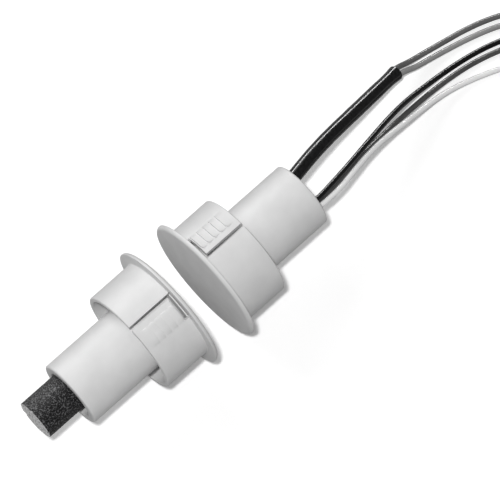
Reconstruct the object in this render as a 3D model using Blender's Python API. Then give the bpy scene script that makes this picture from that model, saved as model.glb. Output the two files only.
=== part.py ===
"""Recessed magnetic contact for a steel door: switch half, magnet half and leads.

Both halves use one press-in moulding, a crowned flange with a snap-finger skirt
round a long barrel. They lie on their flange rims with their axes along X and
face each other across the door gap, the magnet half a little to one side.
Metres, +Z up, origin on the floor below the middle of the two halves.
"""
import math

import bmesh
import bpy
from mathutils import Matrix, Vector

MM = 0.001

# Housing moulding, the same for both halves
HOLE_DIAMETER = 25.4 * MM
FLANGE_DIAMETER = 30.8 * MM
FLANGE_THICKNESS = 0.9 * MM
FLANGE_CROWN = 1.3 * MM
FLANGE_FRONT_EDGE = 0.7 * MM
FLANGE_BACK_EDGE = 0.15 * MM
SKIRT_WALL = 1.2 * MM
SKIRT_LENGTH = 11.45 * MM
SKIRT_CHAMFER = 0.3 * MM
ROOT_FILLET = 0.25 * MM
BARREL_DIAMETER = 16.0 * MM
BARREL_LENGTH = 28.7 * MM
BARREL_EDGE = 0.5 * MM
BORE_DIAMETER = 11.7 * MM
BORE_LEAD_IN = 0.2 * MM
FACE_WALL = 1.8 * MM

# Snap fingers
FINGER_COUNT = 2
FINGER_SLOT_WIDTH = 1.0 * MM
FINGER_ROOT_SLOT = 1.2 * MM
FINGER_SWEEP = math.radians(29.0)
SLOT_FLANGE_BITE = 0.25 * MM
SLOT_OVERCUT = 0.4 * MM
RIB_COUNT = 5
RIB_PITCH = 1.77 * MM
RIB_HEIGHT = 0.45 * MM
RIB_ROOT_GAP = 0.15 * MM
RIB_START = math.radians(8.0)
RIB_END = FINGER_SWEEP
RIB_END_SETBACK = 0.7 * MM
RIB_SINK = 0.3 * MM
RIB_VALLEY_DEPTH = 0.075 * MM
RIB_END_FULLNESS = 0.05
RIB_ROUND_SHARE = 0.2
RIB_FADE_SHARE = 0.6
RIB_SHARES = (0.0, 0.02, 0.06, 0.12, 0.2, 0.4, 0.6, 0.7, 0.8, 0.9, 1.0)
SWITCH_FINGER_ANGLE = math.radians(3.0)
MAGNET_FINGER_ANGLE = math.radians(5.0)

# How the two halves lie
RIM_GAP = 8.95 * MM
SIDE_STEP = 0.8 * MM
SEAT_GAP = 0.3 * MM

# Magnet half
MAGNET_DIAMETER = 9.5 * MM
MAGNET_LENGTH = 38.1 * MM
MAGNET_EDGE = 0.25 * MM
ADHESIVE_DEPTH = 7.0 * MM
ADHESIVE_OPEN_SIDE = 1.5 * MM

# Reed switch
GLASS_DIAMETER = 2.75 * MM
GLASS_LENGTH = 15.0 * MM
GLASS_WALL = 0.3 * MM
GLASS_END_WALL = 0.9 * MM
GLASS_SHOULDER = 0.7 * MM
REED_SETBACK = 3.2 * MM
REED_LEAD_DIAMETER = 0.4 * MM
BLADE_WIDTH = 1.0 * MM
BLADE_THICKNESS = 0.2 * MM
BLADE_GAP = 0.3 * MM
BLADE_OVERLAP = 2.5 * MM
BLADE_FLARE = 1.0 * MM
WIRE_STRAIGHT = 0.5 * MM
SEAL_STUB = 0.2 * MM
LEAD_SEAL_GAP = 0.25 * MM
COMMON_RETURN_OFFSET = 2.8 * MM
COMMON_RETURN_GAP = 0.6 * MM
COMMON_RETURN_REACH = 1.26 * MM
CONTACT_SPREAD = 1.6 * MM
REED_TAIL = 2.0 * MM
JOINT_LENGTH = 1.8 * MM
JOINT_DIAMETER = 1.3 * MM

# Potting
POTTING_RECESS = 1.2 * MM
POTTING_MENISCUS = 0.3 * MM
POTTING_FLAT = 1.0 * MM

# Leads and their sleeve
LEAD_DIAMETER = 1.3 * MM
LEAD_STRAIGHT_SHARE = 0.25
SLEEVE_DIAMETER = 3.3 * MM
SLEEVE_BURIED = 5.0 * MM
SPLICE_DIAMETER = 2.0 * MM
SPLICE_LENGTH = 5.0 * MM
SPLICE_EDGE = 0.2 * MM

# Coil of the spare lead length and its tie
COIL_CENTRE_X = 88.2 * MM
COIL_INNER_RADIUS = 8.8 * MM
COIL_OUTER_RADIUS = 17.0 * MM
COIL_HEIGHT = 5.6 * MM
COIL_EDGE = 1.2 * MM
TIE_ANGLE = math.radians(60.0)
TIE_WIDTH = 2.4 * MM
TIE_THICKNESS = 0.6 * MM
TIE_HEAD = (3.0 * MM, 4.0 * MM, 3.2 * MM)

# Smoothness of the round forms
HOUSING_SEGMENTS = 72
ROUND_SEGMENTS = 32
SMALL_SEGMENTS = 16
BAR_SIDES = 8
LEAD_POINT_SPACING = 2.9 * LEAD_DIAMETER
MERGE_DISTANCE = MM / 1000

# Radii and stations worked out from the sizes above
FLANGE_RADIUS = FLANGE_DIAMETER / 2
SKIRT_RADIUS = HOLE_DIAMETER / 2
SKIRT_INNER = SKIRT_RADIUS - SKIRT_WALL
BARREL_RADIUS = BARREL_DIAMETER / 2
BORE_RADIUS = BORE_DIAMETER / 2
SKIRT_END = FLANGE_THICKNESS + SKIRT_LENGTH
BARREL_END = FLANGE_THICKNESS + BARREL_LENGTH
BORE_FLOOR = FACE_WALL - FLANGE_CROWN
AXIS_HEIGHT = FLANGE_RADIUS * math.cos(math.pi / HOUSING_SEGMENTS)
MAGNET_PROTRUSION = BORE_FLOOR + SEAT_GAP + MAGNET_LENGTH - BARREL_END
MAGNET_OFFSET = BORE_RADIUS - MAGNET_DIAMETER / 2 - SEAT_GAP
ROW_LENGTH = MAGNET_PROTRUSION + 2 * BARREL_END + RIM_GAP
SWITCH_FRONT_X = ROW_LENGTH / 2 - BARREL_END
MAGNET_FRONT_X = SWITCH_FRONT_X - RIM_GAP
SWITCH_AXIS_Y = -SIDE_STEP / 2
MAGNET_AXIS_Y = SIDE_STEP / 2
MOUTH_X = SWITCH_FRONT_X + BARREL_END
POTTING_FACE = BARREL_END - POTTING_RECESS
POTTING_RADIUS = BORE_RADIUS - SEAT_GAP
GLASS_RADIUS = GLASS_DIAMETER / 2
GLASS_FRONT = BORE_FLOOR + REED_SETBACK
GLASS_BACK = GLASS_FRONT + GLASS_LENGTH
CONTACT_HEIGHT = BLADE_THICKNESS + BLADE_GAP
TAIL_END = GLASS_BACK + REED_TAIL
JOINT_CENTRE = TAIL_END + SEAT_GAP + JOINT_LENGTH / 2
LEAD_START = JOINT_CENTRE + JOINT_LENGTH / 2 + SEAT_GAP
SLEEVE_START = POTTING_FACE - SLEEVE_BURIED
SPLICE_END = SLEEVE_START - SEAT_GAP

# Where each lead leaves the potting: sideways and up from the barrel's axis
BLACK_EXIT = (-2.8 * MM, 0.5 * MM)
GREY_EXIT = (-3.1 * MM, -1.3 * MM)
WHITE_EXIT = (-4.2 * MM, -0.1 * MM)
SLEEVE_EXIT = (3.6 * MM, 1.0 * MM)
SPLICE_PLACE = (3.5 * MM, 0.9 * MM)

# Free stretches, in millimetres: along X from the barrel's mouth, Y from its axis, height over the floor
BLACK_ROUTE = (
    (2.0, -3.02, 15.57), (7.1, -2.46, 15.12), (12.1, -1.69, 14.17), (16.9, -0.76, 12.89),
    (21.7, 0.23, 11.33), (26.5, 1.21, 9.52), (31.2, 2.04, 7.46), (35.8, 2.57, 5.32),
    (40.6, 2.75, 3.38), (45.5, 2.70, 1.90), (50.5, 2.30, 0.98), (55.5, 1.42, 0.65),
    (60.4, -0.01, 0.65), (65.1, -1.93, 0.65), (69.7, -4.28, 0.65), (74.2, -6.88, 0.65),
    (78.7, -9.47, 0.65), (83.3, -11.64, 0.65), (88.2, -12.80, 0.65),
)
GREY_ROUTE = (
    (2.7, -3.21, 13.73), (7.7, -2.71, 13.17), (12.5, -1.87, 12.05), (17.2, -1.15, 10.55),
    (21.9, -0.54, 8.82), (26.5, 0.00, 6.99), (31.3, 0.53, 5.25), (36.2, 0.86, 3.80),
    (41.2, 1.03, 2.52), (46.1, 0.93, 1.49), (51.0, 0.39, 0.88), (55.8, -0.66, 0.65),
    (60.6, -2.24, 0.65), (65.2, -4.33, 0.65), (69.7, -6.77, 0.65), (74.1, -9.36, 0.65),
    (78.6, -11.78, 0.65), (83.2, -13.65, 0.65), (88.2, -14.40, 0.65),
)
WHITE_ROUTE = (
    (2.0, -4.60, 14.98), (7.1, -4.36, 14.42), (12.0, -3.43, 13.48), (16.7, -2.47, 12.11),
    (21.5, -1.77, 10.44), (26.2, -1.38, 8.58), (31.0, -1.22, 6.67), (35.7, -1.01, 4.72),
    (40.5, -0.98, 2.99), (45.2, -1.53, 1.70), (50.0, -2.67, 0.88), (54.7, -4.34, 0.65),
    (59.4, -6.37, 0.65), (64.1, -8.51, 0.65), (68.8, -10.59, 0.65), (73.5, -12.51, 0.65),
    (78.2, -14.17, 0.65), (83.1, -15.44, 0.65), (88.2, -16.00, 0.65),
)
SLEEVE_ROUTE = (
    (7.1, 4.97, 16.06), (13.2, 5.92, 14.58), (19.3, 6.72, 12.47), (25.3, 7.52, 10.07),
    (31.3, 8.34, 7.61), (37.2, 9.11, 5.20),
)
UPPER_LOOP_ROUTE = (
    (37.6, 9.97, 5.00), (42.2, 9.57, 2.77), (47.1, 8.99, 1.47), (52.1, 8.20, 0.65),
    (57.1, 7.09, 0.65), (62.0, 5.57, 0.65), (66.6, 3.57, 0.65), (71.0, 1.07, 0.65),
    (75.2, -1.87, 0.65), (79.3, -4.96, 0.65), (83.5, -7.72, 0.65), (88.2, -9.60, 0.65),
)
LOWER_LOOP_ROUTE = (
    (37.7, 8.34, 5.00), (42.3, 7.75, 2.75), (47.1, 7.07, 1.45), (51.9, 6.14, 0.81),
    (56.8, 4.88, 0.65), (61.7, 3.23, 0.65), (66.3, 1.16, 0.65), (70.7, -1.32, 0.65),
    (74.9, -4.14, 0.65), (79.1, -7.06, 0.65), (83.5, -9.63, 0.65), (88.2, -11.20, 0.65),
)


def clear_scene():
    """Start from an empty file."""
    for old in list(bpy.data.objects):
        bpy.data.objects.remove(old, do_unlink=True)


def material(name, colour, roughness, metallic=0.0):
    """A plain Principled finish, its colour in linear RGB."""
    finish = bpy.data.materials.new(name)
    finish.use_nodes = True
    shader = finish.node_tree.nodes["Principled BSDF"]
    shader.inputs["Base Color"].default_value = (*colour, 1.0)
    shader.inputs["Roughness"].default_value = roughness
    shader.inputs["Metallic"].default_value = metallic
    finish.diffuse_color = (*colour, 1.0)
    return finish


def mesh_object(name, shape, finish=None):
    """Turn a bmesh into a smooth shaded object with crisp edges kept."""
    bmesh.ops.recalc_face_normals(shape, faces=shape.faces)
    mesh = bpy.data.meshes.new(name)
    shape.to_mesh(mesh)
    shape.free()
    mesh.shade_smooth()
    mesh.set_sharp_from_angle(angle=math.radians(35.0))
    made = bpy.data.objects.new(name, mesh)
    bpy.context.scene.collection.objects.link(made)
    if finish:
        made.data.materials.append(finish)
    return made


def combine(target, other, operation):
    """Cut or join with an exact Boolean, and hide the other shape as a guide."""
    step = target.modifiers.new(other.name, "BOOLEAN")
    step.operation = operation
    step.solver = "EXACT"
    step.object = other
    other.hide_render = True
    other.display_type = "WIRE"


def turned(profile, segments):
    """Spin a closed (x, radius) profile once round the X axis, with a flat facet straight down."""
    shape = bmesh.new()
    half_step = Matrix.Rotation(math.pi / segments, 4, "X")
    points = [shape.verts.new(half_step @ Vector((x, 0.0, radius))) for x, radius in profile]
    edges = [shape.edges.new(pair) for pair in zip(points, points[1:] + points[:1])
             if pair[0].co.yz.length + pair[1].co.yz.length > MERGE_DISTANCE]
    bmesh.ops.spin(shape, geom=points + edges, cent=(0, 0, 0), axis=(1, 0, 0),
                   angle=math.tau, steps=segments, use_merge=True)
    bmesh.ops.remove_doubles(shape, verts=shape.verts, dist=MERGE_DISTANCE)
    return shape


def loft(rings):
    """Skin a list of equal point rings and close both ends."""
    shape = bmesh.new()
    loops = [[shape.verts.new(point) for point in ring] for ring in rings]
    for near, far in zip(loops, loops[1:]):
        for index in range(len(near)):
            following = (index + 1) % len(near)
            shape.faces.new((near[index], near[following], far[following], far[index]))
    shape.faces.new(loops[0])
    shape.faces.new(loops[-1])
    return shape


def around(x, radius, angle):
    """Point at a radius from the X axis, its angle counted from +Z towards +Y."""
    return Vector((x, radius * math.sin(angle), radius * math.cos(angle)))


def skirt_sector(start_x, end_x, start_angle, end_angle, steps):
    """Block that passes through the skirt's wall between two angles."""
    inner = SKIRT_INNER - SLOT_OVERCUT
    outer = SKIRT_RADIUS + SLOT_OVERCUT
    corners = ((start_x, inner), (end_x, inner), (end_x, outer), (start_x, outer))
    rings = []
    for step in range(steps + 1):
        angle = start_angle + (end_angle - start_angle) * step / steps
        rings.append([around(x, radius, angle) for x, radius in corners])
    return loft(rings)


def ratchet_ribs(finger_angle):
    """Saw-tooth ribs across a finger, steep towards the flange, full at the slot and fading away from it."""
    first = FLANGE_THICKNESS + FINGER_ROOT_SLOT + RIB_ROOT_GAP
    last = min(first + RIB_COUNT * RIB_PITCH, SKIRT_END - SKIRT_CHAMFER)
    rings = []
    for share in RIB_SHARES:
        angle = finger_angle + RIB_START + (RIB_END - RIB_START) * share
        roundness = math.sqrt(1.0 - (1.0 - min(share / RIB_ROUND_SHARE, 1.0)) ** 2)
        fade = max(0.0, share - RIB_FADE_SHARE) / (1.0 - RIB_FADE_SHARE)
        height = RIB_HEIGHT * max(roundness * (1.0 - fade ** 2), RIB_END_FULLNESS)
        setback = RIB_END_SETBACK * (1.0 - roundness)
        ring = [around(first + setback, SKIRT_RADIUS - RIB_SINK, angle)]
        for rib in range(RIB_COUNT):
            steep = first + rib * RIB_PITCH + setback
            foot = min(first + (rib + 1) * RIB_PITCH, last)
            valley = foot + setback * (rib < RIB_COUNT - 1)
            ring.append(around(steep, SKIRT_RADIUS + height, angle))
            ring.append(around(valley, SKIRT_RADIUS - RIB_VALLEY_DEPTH, angle))
        ring.append(around(last, SKIRT_RADIUS - RIB_SINK, angle))
        rings.append(ring)
    return loft(rings)


def housing_profile():
    """Section of the moulding from the crown's middle, round the rim and back to the bore floor."""
    dome_radius = FLANGE_RADIUS - FLANGE_FRONT_EDGE
    profile = []
    for share in (0.0, 0.35, 0.62, 0.84, 1.0):
        profile.append((-FLANGE_CROWN * (1.0 - share ** 2), dome_radius * share))
    for turn in (30.0, 60.0, 90.0):
        bend = math.radians(turn)
        profile.append((FLANGE_FRONT_EDGE * (1.0 - math.cos(bend)),
                        dome_radius + FLANGE_FRONT_EDGE * math.sin(bend)))
    profile += [
        (FLANGE_THICKNESS - FLANGE_BACK_EDGE, FLANGE_RADIUS),
        (FLANGE_THICKNESS, FLANGE_RADIUS - FLANGE_BACK_EDGE),
        (FLANGE_THICKNESS, SKIRT_RADIUS + ROOT_FILLET),
        (FLANGE_THICKNESS + ROOT_FILLET, SKIRT_RADIUS),
        (SKIRT_END - SKIRT_CHAMFER, SKIRT_RADIUS),
        (SKIRT_END, SKIRT_RADIUS - SKIRT_CHAMFER),
        (SKIRT_END, SKIRT_INNER),
        (FLANGE_THICKNESS, SKIRT_INNER),
        (FLANGE_THICKNESS, BARREL_RADIUS),
    ]
    for turn in (0.0, 45.0, 90.0):
        bend = math.radians(turn)
        profile.append((BARREL_END - BARREL_EDGE * (1.0 - math.sin(bend)),
                        BARREL_RADIUS - BARREL_EDGE * (1.0 - math.cos(bend))))
    profile += [
        (BARREL_END, BORE_RADIUS + BORE_LEAD_IN),
        (BARREL_END - BORE_LEAD_IN, BORE_RADIUS),
        (BORE_FLOOR, BORE_RADIUS),
        (BORE_FLOOR, 0.0),
    ]
    return profile


def make_housing(name, finger_angle, finish):
    """One moulding, its flange front at x = 0 and its barrel along +X."""
    housing = mesh_object(name, turned(housing_profile(), HOUSING_SEGMENTS), finish)
    slot_half_angle = FINGER_SLOT_WIDTH / 2 / SKIRT_RADIUS
    slot_start = FLANGE_THICKNESS - SLOT_FLANGE_BITE
    for finger in range(FINGER_COUNT):
        angle = finger_angle + math.tau * finger / FINGER_COUNT
        side_slot = skirt_sector(slot_start, SKIRT_END + SLOT_OVERCUT,
                                 angle - slot_half_angle, angle + slot_half_angle, 1)
        root_slot = skirt_sector(slot_start, FLANGE_THICKNESS + FINGER_ROOT_SLOT,
                                 angle - slot_half_angle, angle + FINGER_SWEEP, 8)
        combine(housing, mesh_object(f"{name}_rib_guide_{finger}", ratchet_ribs(angle)), "UNION")
        combine(housing, mesh_object(f"{name}_side_slot_{finger}", side_slot), "DIFFERENCE")
        combine(housing, mesh_object(f"{name}_root_slot_{finger}", root_slot), "DIFFERENCE")
    return housing


def bar(stations, across, grow=0.0):
    """Sweep an oval through (centre, half width, half height) stations.

    across is the direction held square to the path; grow widens the bar all
    round and lengthens it at both ends, for the space that it takes up.
    """
    across = Vector(across)
    places = [Vector(station[0]) for station in stations]
    places[0] = places[0] + (places[0] - places[1]).normalized() * grow
    places[-1] = places[-1] + (places[-1] - places[-2]).normalized() * grow
    rings = []
    for index, place in enumerate(places):
        ahead = places[min(index + 1, len(places) - 1)] - places[max(index - 1, 0)]
        side = ahead.normalized().cross(across).normalized()
        half_width = stations[index][1] + grow
        half_height = stations[index][2] + grow
        ring = []
        for corner in range(BAR_SIDES):
            turn = math.tau * (corner + 0.5) / BAR_SIDES
            wide = across * (half_width * math.cos(turn))
            high = side * (half_height * math.sin(turn))
            ring.append(place + wide + high)
        rings.append(ring)
    return loft(rings)


def smooth_route(points, spacing):
    """Even points along a smooth curve through the given ones."""
    points = [Vector(point) for point in points]
    ends = [points[0] * 2 - points[1]] + points + [points[-1] * 2 - points[-2]]
    fine = []
    for before, start, end, after in zip(ends, ends[1:], ends[2:], ends[3:]):
        for step in range(12):
            t = step / 12
            fine.append(0.5 * (2 * start + (end - before) * t
                               + (2 * before - 5 * start + 4 * end - after) * t ** 2
                               + (3 * start - before - 3 * end + after) * t ** 3))
    fine.append(points[-1])
    travelled = [0.0]
    for here, there in zip(fine, fine[1:]):
        travelled.append(travelled[-1] + (there - here).length)
    count = max(2, round(travelled[-1] / spacing))
    route = []
    reach = 0
    for index in range(count + 1):
        target = travelled[-1] * index / count
        while reach < len(fine) - 2 and travelled[reach + 1] < target:
            reach += 1
        stretch = travelled[reach + 1] - travelled[reach]
        route.append(fine[reach].lerp(fine[reach + 1], (target - travelled[reach]) / stretch))
    return route


def cord_tube(name, route, diameter, finish):
    """Plain round cord along the route, with filled ends."""
    curve = bpy.data.curves.new(name, "CURVE")
    curve.dimensions = "3D"
    curve.bevel_depth = diameter / 2
    curve.bevel_resolution = 2
    curve.use_fill_caps = True
    spline = curve.splines.new("POLY")
    spline.points.add(len(route) - 1)
    for point, place in zip(spline.points, route):
        point.co = (*place, 1.0)
    curve.materials.append(finish)
    made = bpy.data.objects.new(name, curve)
    bpy.context.scene.collection.objects.link(made)
    return made


def free_stretch(route):
    """A free route in metres, measured from the barrel's mouth."""
    return [Vector((MOUTH_X + x * MM, SWITCH_AXIS_Y + y * MM, z * MM)) for x, y, z in route]


def in_switch(x, place):
    """Point in the switch half: x from its flange front, place across its axis."""
    return Vector((SWITCH_FRONT_X + x, SWITCH_AXIS_Y + place[0], AXIS_HEIGHT + place[1]))


def until_coil(points):
    """Even points along a lead's route, from its start to the side of the coil."""
    centre = Vector((MOUTH_X + COIL_CENTRE_X, SWITCH_AXIS_Y))
    reach = COIL_OUTER_RADIUS + LEAD_DIAMETER / 2 + SEAT_GAP
    fine = smooth_route(points, LEAD_DIAMETER / 3)
    outside = [place for place in fine if (place.xy - centre).length > reach]
    return smooth_route(outside, LEAD_POINT_SPACING)


def lead_route(joint_place, exit_place, free):
    """A lead's whole route from its soldered joint, out of the potting and along the floor."""
    straight = (POTTING_FACE - LEAD_START) * LEAD_STRAIGHT_SHARE
    start = in_switch(LEAD_START, joint_place)
    bend = in_switch(LEAD_START + straight, joint_place)
    inner = in_switch(POTTING_FACE - straight, exit_place)
    exit_point = in_switch(POTTING_FACE, exit_place)
    return [start, bend, inner, exit_point] + free_stretch(free)


def glass_profile(grow=0.0):
    """Section of the reed's glass envelope; grown, it is the solid space round it."""
    outer = GLASS_RADIUS + grow
    neck = outer - GLASS_SHOULDER / 2
    front = GLASS_FRONT - grow
    back = GLASS_BACK + grow
    outside = [(front, neck), (front + GLASS_SHOULDER, outer),
               (back - GLASS_SHOULDER, outer), (back, neck)]
    if grow:
        return [(front, 0.0)] + outside + [(back, 0.0)]
    lead_radius = REED_LEAD_DIAMETER / 2
    front_hole = lead_radius + LEAD_SEAL_GAP
    back_hole = CONTACT_HEIGHT + lead_radius + LEAD_SEAL_GAP
    inner = GLASS_RADIUS - GLASS_WALL
    return outside + [
        (back, back_hole), (back - GLASS_END_WALL, back_hole), (back - GLASS_END_WALL, inner),
        (front + GLASS_END_WALL, inner), (front + GLASS_END_WALL, front_hole), (front, front_hole),
    ]


def common_blade(grow=0.0):
    """Blade from the front seal, its wire bent back beside the glass to its joint."""
    wire = REED_LEAD_DIAMETER / 2
    flat = BLADE_THICKNESS / 2
    bend = COMMON_RETURN_OFFSET / 2
    turn_x = GLASS_FRONT - COMMON_RETURN_GAP
    tip = GLASS_FRONT + GLASS_LENGTH / 2 + BLADE_OVERLAP / 2
    flare = GLASS_FRONT + GLASS_END_WALL + WIRE_STRAIGHT
    stations = [
        ((tip, 0, 0), flat, BLADE_WIDTH / 2),
        ((flare + BLADE_FLARE, 0, 0), flat, BLADE_WIDTH / 2),
        ((flare, 0, 0), wire, wire),
        ((turn_x, 0, 0), wire, wire),
    ]
    for degrees in (30, 60, 90, 120, 150, 180):
        angle = math.radians(degrees)
        x = turn_x - COMMON_RETURN_REACH * math.sin(angle)
        stations.append(((x, -bend * (1 - math.cos(angle)), 0), wire, wire))
    stations.append(((TAIL_END, -COMMON_RETURN_OFFSET, 0), wire, wire))
    return bar(stations, (0, 0, 1), grow)


def fixed_contact(up, grow=0.0):
    """Contact blade beside the common one, its wire leaving the back seal and spreading."""
    wire = REED_LEAD_DIAMETER / 2
    height = CONTACT_HEIGHT * up
    spread = CONTACT_SPREAD * up
    tip = GLASS_FRONT + GLASS_LENGTH / 2 - BLADE_OVERLAP / 2
    flare = GLASS_BACK - GLASS_END_WALL - WIRE_STRAIGHT
    stations = [
        ((tip, 0, height), BLADE_WIDTH / 2, BLADE_THICKNESS / 2),
        ((flare - BLADE_FLARE, 0, height), BLADE_WIDTH / 2, BLADE_THICKNESS / 2),
        ((flare, 0, height), wire, wire),
        ((GLASS_BACK + SEAL_STUB, 0, height), wire, wire),
        ((TAIL_END - WIRE_STRAIGHT, 0, spread), wire, wire),
        ((TAIL_END, 0, spread), wire, wire),
    ]
    return bar(stations, (0, 1, 0), grow)


def solder_joint(grow=0.0):
    """Bead of solder between a reed's wire and a lead, its middle at the joint's centre."""
    half_length = JOINT_LENGTH / 2 + grow
    radius = JOINT_DIAMETER / 2 + grow
    profile = []
    for degrees in (0, 30, 60, 90, 120, 150, 180):
        angle = math.radians(degrees)
        x = JOINT_CENTRE - half_length * math.cos(angle)
        profile.append((x, radius * abs(math.sin(angle))))
    profile[-1] = (profile[-1][0], 0.0)
    return turned(profile, SMALL_SEGMENTS)


def splice_barrel(grow=0.0):
    """Crimped barrel that joins the two sleeved leads inside the potting."""
    start = SPLICE_END - SPLICE_LENGTH - grow
    end = SPLICE_END + grow
    radius = SPLICE_DIAMETER / 2 + grow
    profile = [(start, 0.0), (start, radius - SPLICE_EDGE), (start + SPLICE_EDGE, radius),
               (end - SPLICE_EDGE, radius), (end, radius - SPLICE_EDGE), (end, 0.0)]
    return turned(profile, SMALL_SEGMENTS)


def place_in_switch(made, across=(0.0, 0.0)):
    """Set a shape that was built along X into the switch half."""
    made.location = in_switch(0.0, across)
    return made


def place_in_magnet_half(made, across=(0.0, 0.0)):
    """Set a shape into the magnet half, which faces the other way along its own axis."""
    made.rotation_euler = (0.0, 0.0, math.pi)
    made.location = Vector((MAGNET_FRONT_X, MAGNET_AXIS_Y + across[0], AXIS_HEIGHT + across[1]))
    return made


def place_guides(housing, place):
    """Move a housing's guides with it."""
    for step in housing.modifiers:
        place(step.object)


def build_magnet_half(white, magnet_grey, resin):
    """Moulding, magnet rod against one side of the bore, and the adhesive beside it."""
    housing = place_in_magnet_half(make_housing("magnet_housing", MAGNET_FINGER_ANGLE, white))
    place_guides(housing, place_in_magnet_half)
    rod_start = BORE_FLOOR + SEAT_GAP
    rod_end = rod_start + MAGNET_LENGTH
    radius = MAGNET_DIAMETER / 2
    rod = [(rod_start, 0.0), (rod_start, radius - MAGNET_EDGE), (rod_start + MAGNET_EDGE, radius),
           (rod_end - MAGNET_EDGE, radius), (rod_end, radius - MAGNET_EDGE), (rod_end, 0.0)]
    magnet = mesh_object("magnet", turned(rod, ROUND_SEGMENTS), magnet_grey)
    place_in_magnet_half(magnet, (MAGNET_OFFSET, 0.0))

    fill_end = BARREL_END - ADHESIVE_DEPTH
    fill_radius = BORE_RADIUS - SEAT_GAP
    fill = [(rod_start, 0.0), (rod_start, fill_radius), (fill_end, fill_radius), (fill_end, 0.0)]
    adhesive = mesh_object("magnet_adhesive", turned(fill, ROUND_SEGMENTS), resin)
    place_in_magnet_half(adhesive)
    clear_radius = radius + SEAT_GAP
    clear = [(0.0, 0.0), (0.0, clear_radius), (rod_end, clear_radius), (rod_end, 0.0)]
    magnet_space = mesh_object("magnet_space", turned(clear, ROUND_SEGMENTS))
    place_in_magnet_half(magnet_space, (MAGNET_OFFSET, 0.0))
    combine(adhesive, magnet_space, "DIFFERENCE")
    open_side = bmesh.new()
    bmesh.ops.create_cube(open_side, size=1.0)
    side_size = Vector((rod_end * 2, BORE_DIAMETER, BORE_DIAMETER * 2))
    bmesh.ops.scale(open_side, vec=side_size, verts=open_side.verts)
    side_place = (0.0, -BORE_DIAMETER / 2 - ADHESIVE_OPEN_SIDE, 0.0)
    bmesh.ops.translate(open_side, vec=side_place, verts=open_side.verts)
    dry_side = mesh_object("adhesive_dry_side", open_side)
    place_in_magnet_half(dry_side)
    combine(adhesive, dry_side, "DIFFERENCE")


def build_switch_half(white, resin, glass, nickel, solder, copper):
    """Moulding, reed switch with its three wires, loop splice and potting.

    Returns the potting, which the leads still have to pass through.
    """
    housing = place_in_switch(make_housing("switch_housing", SWITCH_FINGER_ANGLE, white))
    place_guides(housing, place_in_switch)
    place_in_switch(mesh_object("reed_glass", turned(glass_profile(), SMALL_SEGMENTS), glass))
    place_in_switch(mesh_object("reed_common_blade", common_blade(), nickel))
    place_in_switch(mesh_object("reed_open_contact", fixed_contact(1), nickel))
    place_in_switch(mesh_object("reed_closed_contact", fixed_contact(-1), nickel))
    place_in_switch(mesh_object("loop_splice", splice_barrel(), copper), SPLICE_PLACE)

    potting_start = BORE_FLOOR + SEAT_GAP
    fill = [
        (potting_start, 0.0), (potting_start, POTTING_RADIUS),
        (POTTING_FACE + POTTING_MENISCUS, POTTING_RADIUS),
        (POTTING_FACE, POTTING_RADIUS - POTTING_FLAT), (POTTING_FACE, 0.0),
    ]
    potting = mesh_object("potting_compound", turned(fill, ROUND_SEGMENTS), resin)
    place_in_switch(potting)
    spaces = [
        ("glass_space", turned(glass_profile(SEAT_GAP), SMALL_SEGMENTS), (0.0, 0.0)),
        ("common_space", common_blade(SEAT_GAP), (0.0, 0.0)),
        ("open_space", fixed_contact(1, SEAT_GAP), (0.0, 0.0)),
        ("closed_space", fixed_contact(-1, SEAT_GAP), (0.0, 0.0)),
        ("splice_space", splice_barrel(SEAT_GAP), SPLICE_PLACE),
    ]
    joints = (("common", (-COMMON_RETURN_OFFSET, 0.0)), ("open", (0.0, CONTACT_SPREAD)),
              ("closed", (0.0, -CONTACT_SPREAD)))
    for label, across in joints:
        place_in_switch(mesh_object(f"{label}_solder_joint", solder_joint(), solder), across)
        spaces.append((f"{label}_joint_space", solder_joint(SEAT_GAP), across))
    for label, shape, across in spaces:
        combine(potting, place_in_switch(mesh_object(label, shape), across), "DIFFERENCE")
    return potting


def build_leads(potting, jackets):
    """Three reed leads, the sleeved loop pair, and the passages they take through the potting."""
    leads = (
        ("black_lead", (0.0, CONTACT_SPREAD), BLACK_EXIT, BLACK_ROUTE),
        ("dark_grey_lead", (0.0, -CONTACT_SPREAD), GREY_EXIT, GREY_ROUTE),
        ("white_lead", (-COMMON_RETURN_OFFSET, 0.0), WHITE_EXIT, WHITE_ROUTE),
    )
    for name, joint_place, exit_place, free in leads:
        route = until_coil(lead_route(joint_place, exit_place, free))
        cord_tube(name, route, LEAD_DIAMETER, jackets[name])
        cut_passage(potting, f"{name}_passage", route, LEAD_DIAMETER / 2)
    middle = [sum(across) / len(leads) for across in zip(BLACK_EXIT, GREY_EXIT, WHITE_EXIT)]
    bundle = [in_switch((LEAD_START + POTTING_FACE) / 2, middle), in_switch(BARREL_END, middle),
              in_switch(BARREL_END + LEAD_DIAMETER, middle)]
    cut_passage(potting, "bundle_passage", bundle, LEAD_DIAMETER / 2)

    sleeve_points = [in_switch(SLEEVE_START, SPLICE_PLACE), in_switch(POTTING_FACE, SLEEVE_EXIT)]
    sleeve_route = smooth_route(sleeve_points + free_stretch(SLEEVE_ROUTE), SLEEVE_DIAMETER)
    cord_tube("heat_shrink_sleeve", sleeve_route, SLEEVE_DIAMETER, jackets["heat_shrink_sleeve"])
    cut_passage(potting, "sleeve_passage", sleeve_route, SLEEVE_DIAMETER / 2)
    for name, free in (("upper_loop_lead", UPPER_LOOP_ROUTE), ("lower_loop_lead", LOWER_LOOP_ROUTE)):
        cord_tube(name, until_coil(free_stretch(free)), LEAD_DIAMETER, jackets[name])


def cut_passage(potting, name, route, radius):
    """Cut a lead's way out through the potting."""
    mouth = MOUTH_X + SEAT_GAP
    inside = [place for place in route if place.x < mouth]
    inside.append(route[len(inside)])
    stations = [(place, radius, radius) for place in inside]
    combine(potting, mesh_object(name, bar(stations, (0, 0, 1), SEAT_GAP)), "DIFFERENCE")


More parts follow.
